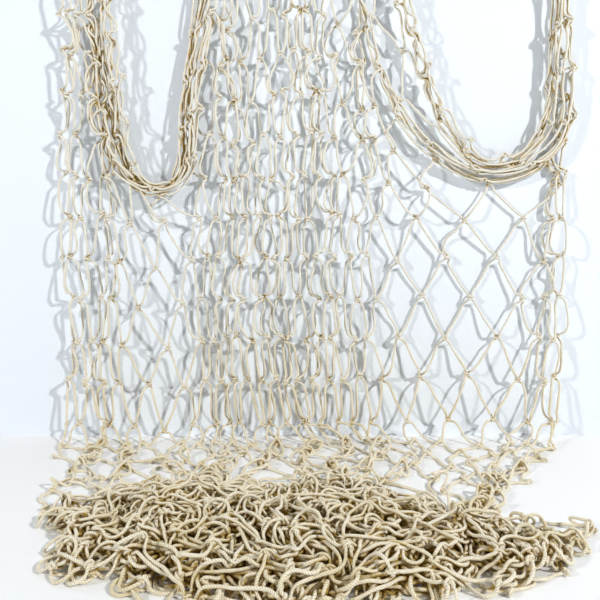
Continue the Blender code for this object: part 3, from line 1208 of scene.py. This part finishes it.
@dataclass
class CordPiece:
    """One piece of the net: its cords, made round, with their lay written on the mesh.

    Attributes:
        name: The piece's name.
        cords: Its cords.
        nooks: Where cord lies close together in the whole net.
        resolution: The roundness of a cord's section.
    """

    name: str
    cords: list[Cord]
    nooks: Nooks
    resolution: int = 1

    @property
    def sides(self) -> int:
        """The number of sides of a cord's section."""
        return 4 + 2 * self.resolution

    def build(self) -> bpy.types.Object:
        """Makes the piece's mesh from curves with a round section and closed ends."""
        data = bpy.data.curves.new(self.name, "CURVE")
        data.dimensions = "3D"
        data.bevel_depth = 1.0
        data.bevel_resolution = self.resolution
        data.twist_mode = "MINIMUM"
        for cord in self.cords:
            spline = data.splines.new("POLY")
            spline.points.add(len(cord.points) - 1)
            places = np.column_stack([cord.points, np.ones(len(cord.points))])
            spline.points.foreach_set("co", places.ravel())
            spline.points.foreach_set("radius", cord.radii)
            spline.use_smooth = True
        drawn = add_object(self.name + "_line", data)
        bpy.context.view_layer.update()
        graph = bpy.context.evaluated_depsgraph_get()
        mesh = bpy.data.meshes.new_from_object(drawn.evaluated_get(graph))
        mesh.name = self.name
        bpy.data.objects.remove(drawn)
        bpy.data.curves.remove(data)
        self._write_lay(mesh)
        self._close_ends(mesh)
        self._write_nooks(mesh)
        return add_object(self.name, mesh)

    @staticmethod
    def _close_ends(mesh: bpy.types.Mesh) -> None:
        """Fills the open ends of the cords."""
        shape = bmesh.new()
        shape.from_mesh(mesh)
        bmesh.ops.holes_fill(shape, edges=[edge for edge in shape.edges if edge.is_boundary])
        shape.to_mesh(mesh)
        shape.free()

    def _write_nooks(self, mesh: bpy.types.Mesh) -> None:
        """Writes how deep in a nook between the cords each vertex is, for the painted shade there."""
        places = np.empty((len(mesh.vertices), 3), np.float32)
        normals = np.empty((len(mesh.vertices), 3), np.float32)
        mesh.vertices.foreach_get("co", places.ravel())
        mesh.vertex_normals.foreach_get("vector", normals.ravel())
        attribute = mesh.attributes.new("nook", "FLOAT", "POINT")
        attribute.data.foreach_set("value", self.nooks.shares(places, normals).astype(np.float32))

    def _write_lay(self, mesh: bpy.types.Mesh) -> None:
        """Writes the length so far and the way round the cord at each vertex."""
        sides = self.sides
        along = np.concatenate([cord.along for cord in self.cords])
        if len(mesh.vertices) != sides * len(along):
            raise ValueError(f"{self.name}: {len(mesh.vertices)} vertices, {len(along)} rings")
        turn = np.arange(sides) * 2 * math.pi / sides
        lay = np.empty((len(along), sides, 3))
        lay[:, :, 0] = along[:, None]
        lay[:, :, 1], lay[:, :, 2] = np.cos(turn), np.sin(turn)
        attribute = mesh.attributes.new("lay", "FLOAT_VECTOR", "POINT")
        attribute.data.foreach_set("vector", lay.ravel())


# ---------------------------------------------------------------- finishes
@dataclass
class Bench:
    """A new material with a Principled shader, to which nodes are added.

    Attributes:
        name: The material's name.
        roughness: How rough it is.
        specular: How much it shines.
        made: The material.
        tree: Its node tree.
        shader: Its shader.
    """

    name: str
    roughness: float
    specular: float
    made: bpy.types.Material = field(init=False)
    tree: bpy.types.NodeTree = field(init=False)
    shader: bpy.types.Node = field(init=False)

    def __post_init__(self) -> None:
        """Makes the material."""
        self.made = bpy.data.materials.new(self.name)
        self.made.use_nodes = True
        self.tree = self.made.node_tree
        self.shader = self.tree.nodes["Principled BSDF"]
        self.feed(self.shader.inputs["Roughness"], self.roughness)
        self.feed(self.shader.inputs["Specular IOR Level"], self.specular)

    def node(self, kind: str, **inputs: Value) -> bpy.types.Node:
        """Adds a node, and feeds the inputs that are named with _ for a space."""
        node = self.tree.nodes.new(kind)
        for name, value in inputs.items():
            self.feed(node.inputs[name.replace("_", " ")], value)
        return node

    def feed(self, socket: bpy.types.NodeSocket, value: Value) -> None:
        """Links another socket to a socket, or sets its number or its colour."""
        if isinstance(value, bpy.types.NodeSocket):
            self.tree.links.new(value, socket)
        else:
            socket.default_value = (*value, 1.0) if isinstance(value, tuple) else value

    def calculate(self, operation: str, *values: Value) -> bpy.types.NodeSocket:
        """A Math node's output."""
        node = self.node("ShaderNodeMath")
        node.operation = operation
        for socket, value in zip(node.inputs, values):
            self.feed(socket, value)
        return node.outputs[0]

    def step_up(self, value: bpy.types.NodeSocket, low: float, high: float) -> bpy.types.NodeSocket:
        """A smooth rise from 0 at low to 1 at high."""
        node = self.node("ShaderNodeMapRange", From_Min=low, From_Max=high, Value=value)
        node.interpolation_type = "SMOOTHSTEP"
        return node.outputs["Result"]

    def noise(self, scale: float, detail: float) -> bpy.types.NodeSocket:
        """A noise over the object's own space."""
        place = self.place()
        return self.node("ShaderNodeTexNoise", Scale=scale, Detail=detail, Vector=place).outputs["Fac"]

    def place(self) -> bpy.types.NodeSocket:
        """The coordinates in the object's own space."""
        return self.node("ShaderNodeTexCoord").outputs["Object"]

    def mix(self, factor: bpy.types.NodeSocket, first: Value, second: Value) -> bpy.types.NodeSocket:
        """A mix of two colours."""
        node = self.node("ShaderNodeMix")
        node.data_type = "RGBA"
        self.feed(node.inputs["Factor"], factor)
        self.feed(node.inputs[MIX_FIRST], first)
        self.feed(node.inputs[MIX_SECOND], second)
        return node.outputs[MIX_RESULT]

    def attribute(self, name: str) -> bpy.types.Node:
        """A node that reads an attribute of the mesh."""
        node = self.node("ShaderNodeAttribute")
        node.attribute_name = name
        return node

    def split(self, vector: bpy.types.NodeSocket) -> bpy.types.NodeOutputs:
        """The three parts of a vector."""
        return self.node("ShaderNodeSeparateXYZ", Vector=vector).outputs


@dataclass(frozen=True)
class CottonCord:
    """Undyed three-strand cotton twine, with the lay of its strands and fibres, and painted shade and
    light on it.

    Attributes:
        light: The colour on top of the strands, and groove_shade the painted shade in the grooves
            between them.
        aged: The colour of the older, yellower stretches.
        nook_shade: The painted shade, a dark ochre, deep between cords that lie together.
        lone_hung_lit: As light, but paler and greyer, where a hung cord is by itself: painted light,
            against the darker colours kept beside other cords; lone_hung_groove_shade as groove_shade.
        hung_above: The heights between which the hung part's colours begin.
        ridge: The distance along the cord from one strand to the next.
        relief: How far the strands stand out.
        roundness: The power that rounds the strands' tops.
        fibre_share: How far the fibres stand out for the strands.
        ridge_wander: How far fibre tufts move the edge between a strand's top and the painted groove
            shade.
        patch_range: Where a noise turns from light to aged.
        ridge_range: Where a strand's top begins.
        beside_range: How deep in a nook a cord is no longer by itself.
        deep_range: How deep in a nook the painted shade sets in.
    """

    light: Colour = (0.92, 0.85, 0.68)
    # Painted shade: the darker brown laid in the grooves between the strands.
    groove_shade: Colour = (0.40, 0.31, 0.16)
    aged: Colour = (0.82, 0.73, 0.50)
    # Painted shade: the dark ochre deep between cords that lie together.
    nook_shade: Colour = (0.47, 0.31, 0.055)
    # Painted light: paler, greyer colours for a hung cord that lies by itself.
    lone_hung_lit: Colour = (0.86, 0.83, 0.73)
    lone_hung_groove_shade: Colour = (0.46, 0.42, 0.32)
    hung_above: Span = (-0.500, -0.360)
    strands: int = 3
    ridge: float = 0.0015
    relief: float = 0.00015
    roundness: float = 0.6
    fibre_scale: float = 1400.0
    fibre_detail: float = 3.0
    fibre_share: float = 0.4
    patch_scale: float = 38.0
    patch_detail: float = 4.0
    patch_range: Span = (0.45, 0.70)
    tuft_scale: float = 420.0
    tuft_detail: float = 2.0
    ridge_wander: float = 0.9
    ridge_range: Span = (0.25, 1.05)
    beside_range: Span = (0.16, 0.50)
    deep_range: Span = (0.18, 0.95)
    roughness: float = 0.88
    specular: float = 0.2
    sheen: float = 0.15
    sheen_roughness: float = 0.5

    def _strand(self, bench: Bench) -> bpy.types.NodeSocket:
        """0 between the strands of the twine and 1 on top of them."""
        lay = bench.split(bench.attribute("lay").outputs["Vector"])
        turn = bench.calculate("ARCTAN2", lay[2], lay[1])
        along = bench.calculate("MULTIPLY", lay[0], 2 * math.pi / self.ridge)
        wound = bench.calculate("MULTIPLY", turn, float(self.strands))
        phase = bench.calculate("SUBTRACT", wound, along)
        half = bench.calculate("MULTIPLY", phase, 0.5)
        return bench.calculate("ABSOLUTE", bench.calculate("COSINE", half))

    def _colour(self, bench: Bench, strand: bpy.types.NodeSocket) -> bpy.types.NodeSocket:
        """The twine's colour, with its painted shade and light."""
        nook = bench.attribute("nook").outputs["Fac"]
        patches = bench.step_up(bench.noise(self.patch_scale, self.patch_detail), *self.patch_range)
        body = bench.mix(patches, self.light, self.aged)
        tufts = bench.noise(self.tuft_scale, self.tuft_detail)
        # Fibre tufts move the edge of the painted groove shade off the strands' tops.
        ridge_edge = bench.calculate("ADD", strand, bench.calculate("MULTIPLY", tufts, self.ridge_wander))
        ridges = bench.step_up(ridge_edge, *self.ridge_range)
        # Painted light: a hung cord by itself gets the paler copy; beside other cords and low down it
        # keeps the darker colours.
        lone_lit = bench.mix(ridges, self.lone_hung_groove_shade, self.lone_hung_lit)
        hung = bench.step_up(bench.split(bench.place())[2], *self.hung_above)
        low = bench.calculate("SUBTRACT", 1.0, hung)
        low_or_shaded = bench.calculate("MAXIMUM", low, bench.step_up(nook, *self.beside_range))
        twisted = bench.mix(low_or_shaded, lone_lit, bench.mix(ridges, self.groove_shade, body))
        # Painted shade deep in the nooks between cords.
        return bench.mix(bench.step_up(nook, *self.deep_range), twisted, self.nook_shade)

    def material(self) -> bpy.types.Material:
        """Makes the material."""
        bench = Bench("cotton_cord", self.roughness, self.specular)
        inputs = bench.shader.inputs
        bench.feed(inputs["Sheen Weight"], self.sheen)
        bench.feed(inputs["Sheen Roughness"], self.sheen_roughness)
        strand = self._strand(bench)
        bench.feed(inputs["Base Color"], self._colour(bench, strand))

        fibres = bench.noise(self.fibre_scale, self.fibre_detail)
        fibres = bench.calculate("MULTIPLY", fibres, self.fibre_share)
        rounded = bench.calculate("POWER", strand, self.roundness)
        height = bench.calculate("ADD", rounded, fibres)
        bump = bench.node("ShaderNodeBump", Strength=1.0, Distance=self.relief, Height=height)
        bench.feed(inputs["Normal"], bump.outputs["Normal"])
        return bench.made


@dataclass(frozen=True)
class BoardPaint:
    """A plain pale finish for the floor and the wall behind the net."""

    name: str
    colour: Colour
    one_sided: bool = False
    roughness: float = 0.8
    specular: float = 0.2

    def material(self) -> bpy.types.Material:
        """Makes the material. A one-sided one doesn't show from its back."""
        bench = Bench(self.name, self.roughness, self.specular)
        bench.feed(bench.shader.inputs["Base Color"], self.colour)
        if self.one_sided:
            back = bench.node("ShaderNodeNewGeometry").outputs["Backfacing"]
            choice = bench.node("ShaderNodeMixShader", Fac=back)
            bench.feed(choice.inputs[1], bench.shader.outputs["BSDF"])
            bench.feed(choice.inputs[2], bench.node("ShaderNodeBsdfTransparent").outputs["BSDF"])
            surface = bench.tree.nodes["Material Output"].inputs["Surface"]
            bench.feed(surface, choice.outputs["Shader"])
        return bench.made


# ---------------------------------------------------------------- floor, wall, light, camera
@dataclass(frozen=True)
class Board:
    """A flat board of the stage.

    Attributes:
        name: Its name.
        middle: Its middle.
        size: Its two sides.
        tip: How far it is tipped up from lying flat, to face the camera.
        paint: Its finish.
    """

    name: str
    middle: tuple[float, float, float]
    size: tuple[float, float]
    tip: float
    paint: BoardPaint

    def build(self) -> bpy.types.Object:
        """Makes the board, as part of the stage."""
        shape = bmesh.new()
        halves = Matrix.Diagonal((self.size[0] / 2, self.size[1] / 2, 1.0, 1.0))
        place = Matrix.Translation(self.middle) @ Matrix.Rotation(self.tip, 4, "X") @ halves
        bmesh.ops.create_grid(shape, x_segments=1, y_segments=1, size=1.0, matrix=place)
        mesh = bpy.data.meshes.new(self.name)
        shape.to_mesh(mesh)
        shape.free()
        mesh.materials.append(self.paint.material())
        board = add_object(self.name, mesh)
        return board


@dataclass(frozen=True)
class Lamp:
    """A square soft light: its name, its place, the point it faces, its side and its power."""

    name: str
    place: tuple[float, float, float]
    aim: tuple[float, float, float]
    size: float
    power: float

    def build(self) -> bpy.types.Object:
        """Makes the light."""
        data = bpy.data.lights.new(self.name, "AREA")
        data.shape = "SQUARE"
        data.size = self.size
        data.energy = self.power
        light = add_object(self.name, data)
        light.location = self.place
        facing = Vector(self.aim) - Vector(self.place)
        light.rotation_euler = facing.to_track_quat("-Z", "Y").to_euler()
        return light


@dataclass
class Studio:
    """The floor, the wall behind the net, the lights and the camera.

    Attributes:
        floor_level: The floor's height in the frame.
        room_size: The side of the floor and the width of the wall.
        wall_height: The wall's height.
        wall_gap: How far the wall lies behind the frame's origin.
        lens: The camera's focal length in millimetres, on a sensor of sensor_width.
        view_drop: How far below the picture's middle the camera's level is, as a share of it.
    """

    floor_level: float
    room_size: float = 10.0
    wall_height: float = 3.0
    wall_gap: float = 0.001
    floor_colour: Colour = (0.94, 0.95, 0.96)
    wall_colour: Colour = (0.82, 0.87, 0.93)
    sky: Colour = (1.0, 0.98, 0.94)
    sky_strength: float = 0.10
    camera_side: float = -0.026
    camera_distance: float = 0.600
    camera_height: float = 0.167
    nearest_seen: float = 0.01
    lens: float = 34.56
    sensor_width: float = 36.0
    view_drop: float = 25 / 600
    lamps: tuple[Lamp, ...] = (
        Lamp("left_light", (-1.75, -1.3, 0.4), (-0.15, 0.0, -0.30), 0.12, 20.4),
        Lamp("right_light", (1.65, -1.5, 0.9), (0.15, 0.0, -0.30), 0.10, 44.4),
    )

    def _boards(self) -> tuple[Board, Board]:
        """The floor, and the wall that stands on it."""
        wide, low = self.room_size, self.floor_level
        floor_paint = BoardPaint("floor_paint", self.floor_colour)
        wall_paint = BoardPaint("wall_paint", self.wall_colour, one_sided=True)
        middle = (0.0, self.wall_gap, low + self.wall_height / 2)
        return (
            Board("floor", (0.0, 0.0, low), (wide, wide), 0.0, floor_paint),
            Board("wall", middle, (wide, self.wall_height), math.pi / 2, wall_paint),
        )

    def _add_sky(self) -> None:
        """Adds the weak light that comes from all sides."""
        world = bpy.data.worlds.new("studio")
        world.use_nodes = True
        background = world.node_tree.nodes["Background"].inputs
        background["Color"].default_value = (*self.sky, 1.0)
        background["Strength"].default_value = self.sky_strength
        bpy.context.scene.world = world
        bpy.context.scene.view_settings.view_transform = "Standard"

    def _add_camera(self) -> None:
        """Adds the camera, level and facing the wall."""
        data = bpy.data.cameras.new("camera")
        data.lens = self.lens
        data.sensor_width = self.sensor_width
        data.shift_y = -self.view_drop
        data.clip_start = self.nearest_seen
        camera = add_object("camera", data)
        height = self.floor_level + self.camera_height
        camera.location = (self.camera_side, -self.camera_distance, height)
        camera.rotation_euler = (math.pi / 2, 0.0, 0.0)
        bpy.context.scene.camera = camera

    def build(self) -> None:
        """Sets the stage."""
        for item in (*self._boards(), *self.lamps):
            log.info("%s", item.build().name)
        self._add_sky()
        self._add_camera()


# ---------------------------------------------------------------- the whole net
@dataclass
class FishingNet:
    """The net in its pieces, from the gathered top to the heap.

    Attributes:
        shape: The surface that it starts from.
        mesh_side: The length of a bar from knot to knot. Not used.
        mesh_slant: How far the bars lean when the net lies flat. Not used.
        strips: The pieces.
    """

    shape: HungShape = field(default_factory=HungShape)
    steps: int = 700
    quick_steps: int = 200
    mesh_side: float = 0.050
    mesh_slant: float = math.radians(11)
    strips: tuple[Strip, ...] = (
        Strip("net_swags", -6, 5, 0.0028, 0.00125, 0.74, "hung"),
        Strip("net_wall", 5, 12, 0.0028, 0.00125, 0.74, "hung"),
        Strip("net_floor", 12, 20, 0.0021, 0.00118, 0.66, "draped"),
        Strip("net_heap_low", 20, 28, 0.0021, 0.00107, 0.66, "draped"),
        Strip("net_heap_middle", 28, 36, 0.0021, 0.00107, 0.66, "draped"),
        Strip("net_heap_top", 36, 44, 0.0021, 0.00107, 0.66, "draped"),
    )

    def _lay_cords(self) -> dict[str, list[Cord]]:
        """Settles the net, and lays the cords of each strip."""
        work = Meshwork(self.shape)
        points = Settling(work).run(self.steps)
        log.info("settled %d points", len(points))
        net = NetCords(work, points)
        return {strip.name: net.twines(strip) for strip in self.strips}

    def build(self) -> list[bpy.types.Object]:
        """Makes and dresses the pieces."""
        laid = self._lay_cords()
        nooks = Nooks([cord for cords in laid.values() for cord in cords])
        finish = CottonCord().material()
        pieces = []
        for strip in self.strips:
            cords = laid[strip.name]
            piece = CordPiece(strip.name, cords, nooks).build()
            piece.data.materials.clear()
            piece.data.materials.append(finish)
            self._declare(piece)
            pieces.append(piece)
        return pieces

    def _declare(self, piece: bpy.types.Object) -> None:
        """Tells the frame what a piece rides on and replaces.

        Args:
            piece: The piece.
        """
        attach(piece, "root")
        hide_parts("net")


def main() -> None:
    """Builds the net and its stage."""
    logging.basicConfig(level=logging.INFO, format="%(name)s: %(message)s")
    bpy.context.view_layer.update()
    net = FishingNet()
    net.build()
    Studio(-net.shape.hang_height).build()


if __name__ == "__main__":
    main()
